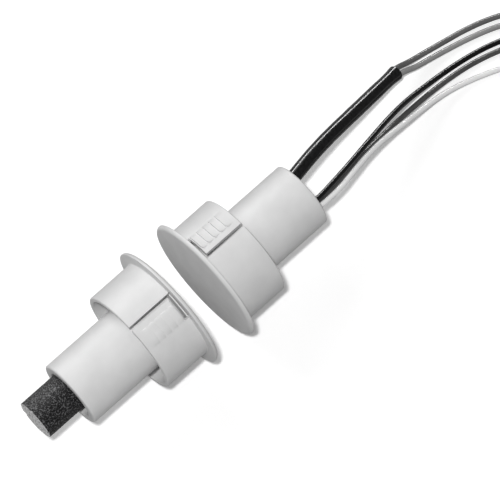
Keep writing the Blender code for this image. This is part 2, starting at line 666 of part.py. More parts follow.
def build_coil(jacket, tie_grey):
    """Outer shape of the coiled spare length, notched below for the tie that holds it."""
    centre = Vector((MOUTH_X + COIL_CENTRE_X, SWITCH_AXIS_Y, 0.0))
    corners = ((COIL_INNER_RADIUS, 0.0), (COIL_OUTER_RADIUS, 0.0), (COIL_OUTER_RADIUS, COIL_HEIGHT),
               (COIL_INNER_RADIUS, COIL_HEIGHT))
    shape = bmesh.new()
    section = [shape.verts.new((radius, 0.0, height)) for radius, height in corners]
    shape.faces.new(section)
    bmesh.ops.bevel(shape, geom=section, offset=COIL_EDGE, segments=2, profile=0.5, affect="VERTICES",
                    material=-1)
    edges = list(shape.edges)
    bmesh.ops.delete(shape, geom=list(shape.faces), context="FACES_ONLY")
    bmesh.ops.spin(shape, geom=list(shape.verts) + edges, cent=(0, 0, 0), axis=(0, 0, 1), angle=math.tau,
                   steps=ROUND_SEGMENTS, use_merge=True)
    bmesh.ops.remove_doubles(shape, verts=shape.verts, dist=MERGE_DISTANCE)
    coil = mesh_object("lead_coil", shape, jacket)
    coil.location = centre

    turn = Matrix.Rotation(TIE_ANGLE, 4, "Z")
    middle = (COIL_INNER_RADIUS + COIL_OUTER_RADIUS) / 2
    inner_width = COIL_OUTER_RADIUS - COIL_INNER_RADIUS + 2 * SEAT_GAP
    inner_height = COIL_HEIGHT + SEAT_GAP - TIE_THICKNESS
    tie = block("coil_tie", (inner_width + 2 * TIE_THICKNESS, TIE_WIDTH, inner_height + 2 * TIE_THICKNESS),
                (middle, 0.0, inner_height / 2 + TIE_THICKNESS), TIE_THICKNESS, tie_grey)
    opening = block("tie_opening", (inner_width, TIE_WIDTH * 2, inner_height),
                    (middle, 0.0, inner_height / 2 + TIE_THICKNESS), TIE_THICKNESS / 2)
    head_x = COIL_OUTER_RADIUS + SEAT_GAP + TIE_THICKNESS / 2 + TIE_HEAD[0] / 2
    head = block("tie_head", TIE_HEAD, (head_x, 0.0, COIL_HEIGHT / 2), TIE_THICKNESS / 2)
    notch = block("tie_notch", (inner_width * 2, TIE_WIDTH + 2 * SEAT_GAP, (TIE_THICKNESS + SEAT_GAP) * 2),
                  (middle, 0.0, 0.0), 0.0)
    for made in (tie, opening, head, notch):
        made.matrix_world = Matrix.Translation(centre) @ turn
    combine(tie, opening, "DIFFERENCE")
    combine(tie, head, "UNION")
    combine(coil, notch, "DIFFERENCE")


def block(name, size, place, edge, finish=None):
    """Box with its long edges along Y rounded."""
    shape = bmesh.new()
    bmesh.ops.create_cube(shape, size=1.0)
    bmesh.ops.scale(shape, vec=size, verts=shape.verts)
    if edge:
        along = [line for line in shape.edges
                 if abs(line.verts[0].co.y - line.verts[1].co.y) > size[1] / 2]
        bmesh.ops.bevel(shape, geom=along, offset=edge, segments=3, profile=0.5,
                        affect="EDGES", material=-1)
    bmesh.ops.translate(shape, vec=place, verts=shape.verts)
    return mesh_object(name, shape, finish)


def main():
    """Build the contact."""
    clear_scene()
    white = material("white_abs", (0.80, 0.80, 0.78), 0.42)
    resin = material("grey_epoxy", (0.10, 0.10, 0.11), 0.5)
    magnet_grey = material("cast_alnico", (0.05, 0.05, 0.055), 0.6, 0.6)
    glass = material("reed_glass", (0.55, 0.70, 0.60), 0.1)
    nickel = material("nickel_iron", (0.60, 0.58, 0.52), 0.3, 1.0)
    solder = material("solder", (0.62, 0.62, 0.64), 0.35, 1.0)
    copper = material("tinned_copper", (0.66, 0.64, 0.62), 0.35, 1.0)
    black_pvc = material("black_pvc", (0.012, 0.012, 0.012), 0.35)
    dark_grey_pvc = material("dark_grey_pvc", (0.09, 0.09, 0.09), 0.4)
    white_pvc = material("white_pvc", (0.78, 0.78, 0.78), 0.4)
    mid_grey_pvc = material("mid_grey_pvc", (0.16, 0.16, 0.16), 0.4)
    light_grey_pvc = material("light_grey_pvc", (0.36, 0.36, 0.36), 0.4)
    shrink = material("black_polyolefin", (0.010, 0.010, 0.010), 0.3)
    nylon = material("black_nylon", (0.015, 0.015, 0.015), 0.45)
    jackets = {
        "black_lead": black_pvc, "dark_grey_lead": dark_grey_pvc, "white_lead": white_pvc,
        "upper_loop_lead": mid_grey_pvc, "lower_loop_lead": light_grey_pvc, "heat_shrink_sleeve": shrink,
    }
    build_magnet_half(white, magnet_grey, resin)
    potting = build_switch_half(white, resin, glass, nickel, solder, copper)
    build_leads(potting, jackets)
    build_coil(mid_grey_pvc, nylon)


main()
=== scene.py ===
"""Recessed magnetic contact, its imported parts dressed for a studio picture.

Metres in the part's own frame: both halves lie along X, and the leads run off
towards +X, where their spare length is wound into a tied coil. Sizes in the
classes are millimetres, as on the maker's drawing.
"""
import logging
import math
from dataclasses import dataclass, field
from enum import Enum

import bmesh
import bpy
from mathutils import Matrix, Vector, noise


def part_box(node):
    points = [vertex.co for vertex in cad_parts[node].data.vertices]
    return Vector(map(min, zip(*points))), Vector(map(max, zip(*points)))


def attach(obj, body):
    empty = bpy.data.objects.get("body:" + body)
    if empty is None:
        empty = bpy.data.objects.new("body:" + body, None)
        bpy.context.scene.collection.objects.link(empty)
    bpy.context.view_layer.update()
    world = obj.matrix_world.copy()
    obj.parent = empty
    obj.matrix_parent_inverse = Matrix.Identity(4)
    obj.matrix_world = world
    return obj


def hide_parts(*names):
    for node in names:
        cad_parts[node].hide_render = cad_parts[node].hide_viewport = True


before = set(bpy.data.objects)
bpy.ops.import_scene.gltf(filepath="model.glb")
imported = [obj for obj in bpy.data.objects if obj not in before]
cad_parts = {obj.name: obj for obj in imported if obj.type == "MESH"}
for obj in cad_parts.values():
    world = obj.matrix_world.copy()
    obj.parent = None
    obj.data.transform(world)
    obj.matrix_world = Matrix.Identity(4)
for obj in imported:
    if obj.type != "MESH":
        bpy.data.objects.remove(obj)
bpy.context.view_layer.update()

MM = 0.001
BODY = "root"
TOUCH = 0.001 * MM
LOG = logging.getLogger("contact")

Corner = tuple[float, float, float]
Across = tuple[float, float]
Route = list[Vector]


def hex_colour(code: str) -> tuple[float, float, float, float]:
    """Turn an sRGB hex code into the linear colour that a shader takes.

    Args:
        code: Six hex digits, such as "E8E8E6".

    Returns:
        Red, green, blue and an alpha of one.
    """
    channels = [int(code[place:place + 2], 16) / 255 for place in (0, 2, 4)]
    linear = [value / 12.92 if value <= 0.04045 else ((value + 0.055) / 1.055) ** 2.4
              for value in channels]
    return (*linear, 1.0)


def add_node(tree: bpy.types.NodeTree, kind: str, settings: dict, links: dict) -> bpy.types.Node:
    """Add a node with its settings and its links.

    Args:
        tree: The tree that takes the node.
        kind: The node's type name.
        settings: Values by input socket, or by attribute where no socket has the name.
        links: Output sockets by the name or number of the input that they feed.

    Returns:
        The new node.
    """
    node = tree.nodes.new(kind)
    for name, value in settings.items():
        if isinstance(name, int) or name in node.inputs:
            node.inputs[name].default_value = value
        else:
            setattr(node, name, value)
    for name, socket in links.items():
        tree.links.new(socket, node.inputs[name])
    return node


class Pattern(Enum):
    """The texture that breaks up a finish's colour."""

    CLOUDED = "ShaderNodeTexNoise"
    GRANULAR = "ShaderNodeTexVoronoi"


@dataclass(frozen=True)
class Finish:
    """A material by what it is and how its surface was made.

    Roughness and colour each run between two values along their own patterns,
    and the bump stands for what the tool, the mould or the saw left behind.
    """

    name: str
    colour: str
    second_colour: str
    roughness: tuple[float, float]
    pattern_mm: float
    bump_mm: float
    bump_height_mm: float
    ior: float = 1.5
    metallic: float = 0.0
    transmission: float = 0.0
    pattern: Pattern = Pattern.CLOUDED
    blend_range: tuple[float, float] = (0.3, 0.7)
    stretch: tuple[float, float, float] = (1.0, 1.0, 1.0)

    def build(self) -> bpy.types.Material:
        """Make the node material.

        Returns:
            The finished material.
        """
        made = bpy.data.materials.new(self.name)
        made.use_nodes = True
        tree = made.node_tree
        shader = tree.nodes["Principled BSDF"]
        shader.inputs["IOR"].default_value = self.ior
        shader.inputs["Metallic"].default_value = self.metallic
        shader.inputs["Transmission Weight"].default_value = self.transmission
        place = add_node(tree, "ShaderNodeTexCoord", {}, {}).outputs["Object"]
        place = add_node(tree, "ShaderNodeMapping", {"Scale": self.stretch}, {"Vector": place}).outputs[0]
        tree.links.new(self.colour_socket(tree, place), shader.inputs["Base Color"])
        tree.links.new(self.roughness_socket(tree, place), shader.inputs["Roughness"])
        tree.links.new(self.normal_socket(tree, place), shader.inputs["Normal"])
        return made

    def colour_socket(self, tree: bpy.types.NodeTree, place: bpy.types.NodeSocket) -> bpy.types.NodeSocket:
        """Blend the two colours along the finish's pattern.

        Args:
            tree: The material's tree.
            place: Where on the piece the shader is.

        Returns:
            The colour socket.
        """
        texture = add_node(tree, self.pattern.value, {"Scale": 1.0 / (self.pattern_mm * MM)}, {"Vector": place})
        source = texture.outputs[0]
        share = add_node(tree, "ShaderNodeMapRange", {"From Min": self.blend_range[0],
                         "From Max": self.blend_range[1]}, {"Value": source})
        mix = add_node(tree, "ShaderNodeMix", {"data_type": "RGBA"}, {"Factor": share.outputs[0]})
        mix.inputs[6].default_value = hex_colour(self.colour)
        mix.inputs[7].default_value = hex_colour(self.second_colour)
        return mix.outputs[2]

    def roughness_socket(self, tree: bpy.types.NodeTree, place: bpy.types.NodeSocket) -> bpy.types.NodeSocket:
        """Let the gloss wander between its two values over a few millimetres.

        Args:
            tree: The material's tree.
            place: Where on the piece the shader is.

        Returns:
            The roughness socket.
        """
        texture = add_node(tree, "ShaderNodeTexNoise", {"Scale": 0.4 / (self.pattern_mm * MM), "Detail": 3.0},
                           {"Vector": place})
        return add_node(tree, "ShaderNodeMapRange", {"From Min": 0.35, "From Max": 0.65,
                        "To Min": self.roughness[0], "To Max": self.roughness[1]},
                        {"Value": texture.outputs[0]}).outputs[0]

    def normal_socket(self, tree: bpy.types.NodeTree, place: bpy.types.NodeSocket) -> bpy.types.NodeSocket:
        """Raise the fine texture of the surface.

        Args:
            tree: The material's tree.
            place: Where on the piece the shader is.

        Returns:
            The normal socket.
        """
        texture = add_node(tree, "ShaderNodeTexNoise", {"Scale": 1.0 / (self.bump_mm * MM), "Detail": 4.0},
                           {"Vector": place})
        return add_node(tree, "ShaderNodeBump", {"Strength": 1.0, "Distance": self.bump_height_mm * MM},
                        {"Height": texture.outputs[0]}).outputs[0]


# Injection moulded ABS: a bright neutral white, satin, with the mould's fine spark texture.
# The texture is 0.1 mm on the real tool and drawn at 0.35 mm, the finest that shows.
MOULDED_ABS = Finish("moulded_white_abs", "DEDEDE", "D8D8D8", (0.54, 0.66), 4.0, 0.35, 0.003, ior=1.53)
# Sand cast Alnico: a nearly black oxide skin of coarse grains, dull, with paler grit between them.
CAST_ALNICO = Finish("cast_alnico", "131314", "666667", (0.62, 0.86), 0.29, 0.42, 0.05, metallic=0.2,
                     pattern=Pattern.GRANULAR, blend_range=(0.50, 0.80))
# The same metal ground flat: mid grey, with the wheel's scratches and dark pulled-out grains.
GROUND_ALNICO = Finish("ground_alnico", "E6E6E6", "868686", (0.34, 0.55), 0.45, 0.2, 0.012, metallic=0.35,
                       blend_range=(0.45, 0.68), stretch=(1.0, 1.0, 0.45))
# Two-part epoxy: dark grey, glossy where it set against air, with soft swirls.
CAST_EPOXY = Finish("cast_grey_epoxy", "3A3B3D", "2C2D2F", (0.16, 0.32), 2.2, 1.4, 0.02, ior=1.55)
# Extruded flexible PVC: a soft sheen, faint lengthwise flow and small changes of gloss.
PVC = {"roughness": (0.20, 0.32), "pattern_mm": 2.4, "bump_mm": 0.5, "bump_height_mm": 0.006, "ior": 1.53,
       "stretch": (0.35, 1.0, 1.0)}
BLACK_PVC = Finish("extruded_black_pvc", "080809", "101011", **PVC)
DARK_GREY_PVC = Finish("extruded_dark_grey_pvc", "4E4E4E", "474747", **PVC)
WHITE_PVC = Finish("extruded_white_pvc", "EFEFEF", "E8E8E8", **PVC)
MID_GREY_PVC = Finish("extruded_mid_grey_pvc", "686868", "5E5E5E", **PVC)
LIGHT_GREY_PVC = Finish("extruded_light_grey_pvc", "949494", "8A8A8A", **PVC)
# Shrunk polyolefin sleeve: black, satin, slightly pebbled where it was heated.
SHRUNK_POLYOLEFIN = Finish("shrunk_black_polyolefin", "090909", "1B1B1C", (0.12, 0.26), 0.6, 0.5, 0.010, ior=1.49)
# Moulded nylon cable tie: black with a waxy sheen.
MOULDED_NYLON = Finish("moulded_black_nylon", "141415", "1D1D1E", (0.34, 0.48), 1.5, 0.4, 0.006, ior=1.53)
# Metals of the reed and its wires: bright nickel plate, dull solder and tinned strands.
NICKEL_IRON = Finish("plated_nickel_iron", "C6C0B4", "B4AFA4", (0.24, 0.36), 0.6, 0.2, 0.003, metallic=1.0)
SOLDER = Finish("set_solder", "B9BABD", "A2A3A6", (0.28, 0.48), 0.5, 0.35, 0.01, metallic=1.0)
TINNED_COPPER = Finish("tinned_copper_wire", "CBC7C0", "B5B0A8", (0.22, 0.36), 0.5, 0.2, 0.003, metallic=1.0)
# Drawn glass of the reed's envelope: clear with the green of iron.
DRAWN_GLASS = Finish("drawn_reed_glass", "C9E2D2", "BFDCCB", (0.02, 0.06), 2.0, 1.5, 0.002, transmission=1.0)


def section_face(corners: list[Corner], fillet_steps: int) -> bmesh.types.BMesh:
    """Draw a closed section in the XZ plane and round its corners.

    Args:
        corners: X, height and fillet radius of each corner in millimetres, in order.
        fillet_steps: Facets in each fillet.

    Returns:
        A bmesh that holds the one face.
    """
    shape = bmesh.new()
    verts = [shape.verts.new((x * MM, 0.0, height * MM)) for x, height, _ in corners]
    shape.faces.new(verts)
    for fillet in sorted({corner[2] for corner in corners if corner[2]}):
        rounded = [vert for vert, corner in zip(verts, corners) if corner[2] == fillet]
        bmesh.ops.bevel(shape, geom=rounded, offset=fillet * MM, segments=fillet_steps, profile=0.5,
                        affect="VERTICES", material=-1)
    return shape


def close_up(shape: bmesh.types.BMesh) -> None:
    """Merge seams and poles, drop loose edges and turn the faces outwards."""
    bmesh.ops.remove_doubles(shape, verts=shape.verts, dist=TOUCH)
    loose = [edge for edge in shape.edges if not edge.link_faces]
    bmesh.ops.delete(shape, geom=loose, context="EDGES")
    bmesh.ops.recalc_face_normals(shape, faces=shape.faces)


def turn_full(shape: bmesh.types.BMesh, steps: int) -> None:
    """Turn a section once round the X axis into a closed solid.

    Args:
        shape: The section's face, which this replaces.
        steps: Facets round the solid.
    """
    bmesh.ops.delete(shape, geom=list(shape.faces), context="FACES_ONLY")
    rim = [edge for edge in shape.edges if max(vert.co.z for vert in edge.verts) > TOUCH]
    ends = list({vert for edge in rim for vert in edge.verts})
    bmesh.ops.spin(shape, geom=ends + rim, cent=(0, 0, 0), axis=(1, 0, 0), angle=math.tau, steps=steps,
                   use_merge=True)
    close_up(shape)


def turn_part(shape: bmesh.types.BMesh, start: float, sweep: float, steps: int) -> None:
    """Turn a section's face about the X axis into a solid sector.

    Args:
        shape: The section's face, drawn upwards from the axis.
        start: Angle of the first end in radians, from +Z towards +Y.
        sweep: Angle between the two ends.
        steps: Facets along the sweep.
    """
    bmesh.ops.rotate(shape, verts=shape.verts, cent=(0, 0, 0), matrix=Matrix.Rotation(-start, 3, "X"))
    bmesh.ops.spin(shape, geom=list(shape.verts) + list(shape.edges) + list(shape.faces), cent=(0, 0, 0),
                   axis=(1, 0, 0), angle=-sweep, steps=steps, use_merge=False)
    close_up(shape)


def finish_mesh(name: str, shape: bmesh.types.BMesh, *finishes: bpy.types.Material) -> bpy.types.Object:
    """Turn a bmesh into a shown object at the origin, smooth with its sharp edges kept.

    Args:
        name: The piece's name.
        shape: Its faces in the part's frame, freed here.
        finishes: Its materials, in slot order.

    Returns:
        The new object.
    """
    mesh = bpy.data.meshes.new(name)
    shape.to_mesh(mesh)
    shape.free()
    mesh.shade_smooth()
    mesh.set_sharp_from_angle(angle=math.radians(33.0))
    made = bpy.data.objects.new(name, mesh)
    bpy.context.scene.collection.objects.link(made)
    for finish in finishes:
        mesh.materials.append(finish)
    return made


def seat(piece: bpy.types.Object, slot: str, *nodes: str) -> bpy.types.Object:
    """Put a finished piece on the part's body in place of its CAD nodes.

    Args:
        piece: The shown object.
        slot: Not used.
        nodes: The CAD nodes that it stands for.

    Returns:
        The same object.
    """
    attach(piece, BODY)
    if nodes:
        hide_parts(*nodes)
    LOG.info("%s stands for %s", piece.name, ", ".join(nodes) or "a detail of its own")
    return piece


def smooth_route(points: Route, spacing: float) -> Route:
    """Lay even points along a smooth curve through the given ones.

    Args:
        points: Places that the curve passes, in metres.
        spacing: Distance between the new points.

    Returns:
        The evenly spaced points, both ends kept.
    """
    ends = [points[0] * 2 - points[1], *points, points[-1] * 2 - points[-2]]
    fine = []
    for before, start, end, after in zip(ends, ends[1:], ends[2:], ends[3:]):
        for step in range(12):
            t = step / 12
            fine.append(0.5 * (2 * start + (end - before) * t
                               + (2 * before - 5 * start + 4 * end - after) * t ** 2
                               + (3 * start - before - 3 * end + after) * t ** 3))
    fine.append(points[-1])
    return even_route(fine, spacing)


def even_route(fine: Route, spacing: float) -> Route:
    """Space a dense line's points evenly.

    Args:
        fine: The dense line.
        spacing: Distance between the new points, which is fitted to the length.

    Returns:
        The evenly spaced points.
    """
    travelled = [0.0]
    for here, there in zip(fine, fine[1:]):
        travelled.append(travelled[-1] + (there - here).length)
    count = max(2, round(travelled[-1] / spacing))
    route = []
    reach = 0
    for index in range(count + 1):
        target = travelled[-1] * index / count
        while reach < len(fine) - 2 and travelled[reach + 1] < target:
            reach += 1
        stretch = max(travelled[reach + 1] - travelled[reach], TOUCH)
        route.append(fine[reach].lerp(fine[reach + 1], (target - travelled[reach]) / stretch))
    return route


def route_length(route: Route) -> float:
    """Length of a line of points in metres."""
    return sum((there - here).length for here, there in zip(route, route[1:]))


def ease(share: float) -> float:
    """Smooth step from zero to one."""
    share = min(max(share, 0.0), 1.0)
    return share * share * (3.0 - 2.0 * share)


@dataclass
class Moulding:
    """One half's press-in housing, its flange front at x = 0 and its barrel along +X."""

    name: str
    node: str
    finger_degrees: float
    faces_back: bool
    flange_radius: float = 15.4
    flange_thickness: float = 0.9
    crown: float = 1.3
    front_edge: float = 0.7
    back_edge: float = 0.15
    skirt_radius: float = 12.7
    skirt_wall: float = 1.2
    skirt_length: float = 11.45
    skirt_edge: float = 0.3
    skirt_lip: float = 0.15
    root_fillet: float = 0.25
    pocket_fillet: float = 0.3
    barrel_radius: float = 8.0
    barrel_length: float = 28.7
    barrel_edge: float = 0.5
    bore_radius: float = 5.85
    bore_edge: float = 0.2
    bore_floor: float = 0.5
    slot_width: float = 1.0
    root_slot: float = 1.2
    finger_sweep: float = 29.0
    flange_bite: float = 0.25
    overcut: float = 0.4
    rib_count: int = 5
    rib_pitch: float = 1.77
    rib_height: float = 0.55
    rib_gap: float = 0.15
    rib_range: tuple[float, float] = (8.0, 29.0)
    rib_round: float = 0.2
    rib_fade: float = 0.6
    rib_setback: float = 0.7
    rib_sink: float = 0.3
    rib_valley: float = 0.075
    rib_crest: float = 0.08
    segments: int = 192

    def placement(self) -> Matrix:
        """Where the housing stands, taken from its CAD node's box."""
        low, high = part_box(self.node)
        barrel_end = (self.flange_thickness + self.barrel_length) * MM
        front = low.x + barrel_end if self.faces_back else high.x - barrel_end
        spot = Matrix.Translation((front, (low.y + high.y) / 2, (low.z + high.z) / 2))
        return spot @ Matrix.Rotation(math.pi if self.faces_back else 0.0, 4, "Z")

    def section(self) -> list[Corner]:
        """Corners of the turned section, from the crown's middle round to the bore's floor."""
        skirt_end = self.flange_thickness + self.skirt_length
        barrel_end = self.flange_thickness + self.barrel_length
        skirt_inner = self.skirt_radius - self.skirt_wall
        crown_steps = 14
        corners = []
        for step in range(crown_steps):
            share = step / crown_steps
            corners.append((-self.crown * (1.0 - share ** 2), self.flange_radius * share, 0.0))
        corners += [
            (0.0, self.flange_radius, self.front_edge),
            (self.flange_thickness, self.flange_radius, self.back_edge),
            (self.flange_thickness, self.skirt_radius, self.root_fillet),
            (skirt_end, self.skirt_radius, self.skirt_edge),
            (skirt_end, skirt_inner, self.skirt_lip),
            (self.flange_thickness, skirt_inner, self.pocket_fillet),
            (self.flange_thickness, self.barrel_radius, self.pocket_fillet),
            (barrel_end, self.barrel_radius, self.barrel_edge),
            (barrel_end, self.bore_radius, self.bore_edge),
            (self.bore_floor, self.bore_radius, self.pocket_fillet),
            (self.bore_floor, 0.0, 0.0),
        ]
        return corners

    def slot_cutters(self, finger: float) -> list[bmesh.types.BMesh]:
        """The side slot and the root slot that free one snap finger.

        Args:
            finger: Angle of the side slot in radians.

        Returns:
            The two cutters.
        """
        start = self.flange_thickness - self.flange_bite
        low = self.skirt_radius - self.skirt_wall - self.overcut
        high = self.skirt_radius + self.rib_height + self.overcut
        half = self.slot_width / 2 / self.skirt_radius
        cutters = []
        for end, sweep in ((self.flange_thickness + self.skirt_length + self.overcut, 2 * half),
                           (self.flange_thickness + self.root_slot, half + math.radians(self.finger_sweep))):
            cutter = section_face([(start, low, 0), (end, low, 0), (end, high, 0), (start, high, 0)], 1)
            turn_part(cutter, finger - half, sweep, 16)
            cutters.append(cutter)
        return cutters

    def ribs(self, finger: float) -> bmesh.types.BMesh:
        """Saw-tooth ribs across one finger, full at its slot and fading away from it.

        Args:
            finger: Angle of the finger's side slot in radians.

        Returns:
            The ribs as one solid.
        """
        first = self.flange_thickness + self.root_slot + self.rib_gap
        last = self.flange_thickness + self.skirt_length - self.skirt_edge
        base = self.skirt_radius - self.rib_sink
        corners = [(first, base, 0.0)]
        for rib in range(self.rib_count):
            steep = first + rib * self.rib_pitch
            foot = min(steep + self.rib_pitch, last)
            corners.append((steep, self.skirt_radius + self.rib_height, self.rib_crest))
            corners.append((foot, self.skirt_radius - self.rib_valley, 0.0))
        corners.append((last, base, 0.0))
        solid = section_face(corners, 3)
        start, end = (math.radians(angle) for angle in self.rib_range)
        turn_part(solid, finger + start, end - start, 40)
        for vert in solid.verts:
            radius = math.hypot(vert.co.y, vert.co.z)
            share = ((math.atan2(vert.co.y, vert.co.z) - finger) % math.tau - start) / (end - start)
            roundness = math.sqrt(max(0.0, 1.0 - (1.0 - min(share / self.rib_round, 1.0)) ** 2))
            fade = max(0.0, share - self.rib_fade) / (1.0 - self.rib_fade)
            fullness = max(roundness * (1.0 - fade ** 2), 0.02)
            skirt = self.skirt_radius * MM
            if radius > skirt:
                scale = (skirt + (radius - skirt) * fullness) / radius
                vert.co.y *= scale
                vert.co.z *= scale
            if vert.co.x < (last - self.rib_pitch / 2) * MM:
                vert.co.x += self.rib_setback * MM * (1.0 - roundness)
        return solid

    def build(self, finish: bpy.types.Material) -> bpy.types.Object:
        """Turn, cut and place the housing.

        Args:
            finish: The moulding's material.

        Returns:
            The finished piece.
        """
        body = section_face(self.section(), 5)
        turn_full(body, self.segments)
        housing = finish_mesh(self.name, body, finish)
        tools = []
        for turn in range(2):
            finger = math.radians(self.finger_degrees) + math.pi * turn
            tools.append((finish_mesh("rib_tool", self.ribs(finger)), "UNION"))
            tools += [(finish_mesh("slot_tool", cutter), "DIFFERENCE") for cutter in self.slot_cutters(finger)]
        for tool, operation in tools:
            step = housing.modifiers.new(tool.name, "BOOLEAN")
            step.operation, step.solver, step.object = operation, "EXACT", tool
        shown = bpy.data.meshes.new_from_object(housing.evaluated_get(bpy.context.evaluated_depsgraph_get()))
        housing.modifiers.clear()
        housing.data = shown
        for tool, _ in tools:
            bpy.data.objects.remove(tool)
        shown.transform(self.placement())
        shown.shade_smooth()
        shown.set_sharp_from_angle(angle=math.radians(33.0))
        return seat(housing, "white_abs", self.node)


@dataclass
class Magnet:
    """Cast rod magnet with a granular skin and a ground, chipped end."""

    radius: float = 4.75
    edge: float = 0.12
    rough_length: float = 14.0
    row: float = 0.2
    skin_height: float = 0.045
    chip_depth: float = 0.45
    segments: int = 150

    def build(self, skin: bpy.types.Material, ground: bpy.types.Material) -> bpy.types.Object:
        """Turn the rod, roughen its skin and chip its outer edge.

        Args:
            skin: The cast surface's material.
            ground: The end face's material.

        Returns:
            The finished piece.
        """
        low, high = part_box("magnet")
        centre = Vector((0.0, (low.y + high.y) / 2, (low.z + high.z) / 2))
        end, root = low.x / MM, high.x / MM
        rows = int(self.rough_length / self.row)
        corners = [(end, 0.0, 0.0)]
        corners += [(end, self.radius * step / 16, 0.0) for step in range(1, 16)]
        corners += [(end, self.radius, self.edge)]
        corners += [(end + self.row * (row + 1), self.radius, 0.0) for row in range(rows)]
        corners += [(root, self.radius, self.edge), (root, 0.0, 0.0)]
        rod = section_face(corners, 2)
        turn_full(rod, self.segments)
        for vert in rod.verts:
            self.roughen(vert, end)
        for face in rod.faces:
            face.material_index = int(abs(face.normal.x) > 0.9 and face.calc_center_median().x < (end + 1) * MM)
        bmesh.ops.translate(rod, vec=centre, verts=rod.verts)
        bmesh.ops.recalc_face_normals(rod, faces=rod.faces)
        return seat(finish_mesh("magnet_rod", rod, skin, ground), "cast_alnico", "magnet")

    def roughen(self, vert: bmesh.types.BMVert, end: float) -> None:
        """Move one point of the rod by its casting grain and its edge's chips.

        Args:
            vert: The point, with the rod's axis on X.
            end: X of the ground face in millimetres.
        """
        radius = math.hypot(vert.co.y, vert.co.z)
        if radius < 0.5 * self.radius * MM:
            return
        inwards = vert.co.x / MM - end
        place = vert.co / MM
        if radius > (self.radius - 0.02) * MM and 0.1 < inwards < self.rough_length:
            grain = noise.noise(place * 2.3) + 0.6 * noise.noise(place * 4.7)
            scale = 1.0 + self.skin_height * grain / self.radius
            vert.co.y *= scale
            vert.co.z *= scale
        chip = noise.noise(Vector((0.0, vert.co.y, vert.co.z)).normalized() * 3.1 + Vector((4.2, 0.0, 0.0)))
        chip += 0.5 * noise.noise(Vector((0.0, vert.co.y, vert.co.z)).normalized() * 9.0)
        near = max(0.0, 1.0 - inwards / 0.9) * max(0.0, 1.0 - (self.radius - radius / MM) / 0.8)
        bite = self.chip_depth * ease((chip - 0.12) / 0.4) * near
        if bite:
            vert.co.x += 0.8 * bite * MM
            vert.co.y *= 1.0 - 0.6 * bite / self.radius
            vert.co.z *= 1.0 - 0.6 * bite / self.radius


@dataclass(frozen=True)
class Mouth:
    """Where the leads leave the switch half, in the part's frame."""

    x: float = 38.725
    potting_x: float = 37.525
    axis_y: float = -0.4
    axis_z: float = 15.385

    def exit_point(self, across: Across) -> Vector:
        """Point of the potting's face at a place across the barrel's axis, in metres."""
        return Vector((self.potting_x, self.axis_y + across[0], self.axis_z + across[1])) * MM

    def free_points(self, stations: tuple[Corner, ...]) -> Route:
        """Points in metres from places beyond the mouth, sideways of the axis and over the floor."""
        return [Vector((self.x + x, self.axis_y + y, z)) * MM for x, y, z in stations]


@dataclass
class Potting:
    """Epoxy that fills the switch half's bore and creeps up its wall and leads."""

    mouth: Mouth
    bore_radius: float = 5.84
    wall_creep: float = 0.5
    lead_creep: float = 0.35
    creep_reach: float = 0.45
    segments: int = 120

    def build(self, finish: bpy.types.Material, exits: list[tuple[float, float, float]]) -> bpy.types.Object:
        """Turn the fill and raise its face round the wall and the leads.

        Args:
            finish: The resin's material.
            exits: Sideways place, height over the axis and radius of each lead's way out.

        Returns:
            The finished piece.
        """
        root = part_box("potting_compound")[0].x / MM
        rings = 36
        corners = [(self.mouth.potting_x, self.bore_radius * step / rings, 0.0) for step in range(rings + 1)]
        corners += [(root, self.bore_radius, 0.0), (root, 0.0, 0.0)]
        fill = section_face(corners, 1)
        turn_full(fill, self.segments)
        for vert in fill.verts:
            if vert.co.x < (self.mouth.potting_x - 0.01) * MM:
                continue
            radius = math.hypot(vert.co.y, vert.co.z) / MM
            rise = self.wall_creep * math.exp((radius - self.bore_radius) / self.creep_reach)
            for across, up, size in exits:
                gap = math.hypot(vert.co.y / MM - across, vert.co.z / MM - up) - size
                rise = max(rise, self.lead_creep * math.exp(-max(gap, 0.0) / self.creep_reach))
            vert.co.x += rise * MM
        axis = Vector((0.0, self.mouth.axis_y, self.mouth.axis_z)) * MM
        bmesh.ops.translate(fill, vec=axis, verts=fill.verts)
        return seat(finish_mesh("potting_fill", fill, finish), "grey_epoxy", "potting_compound")


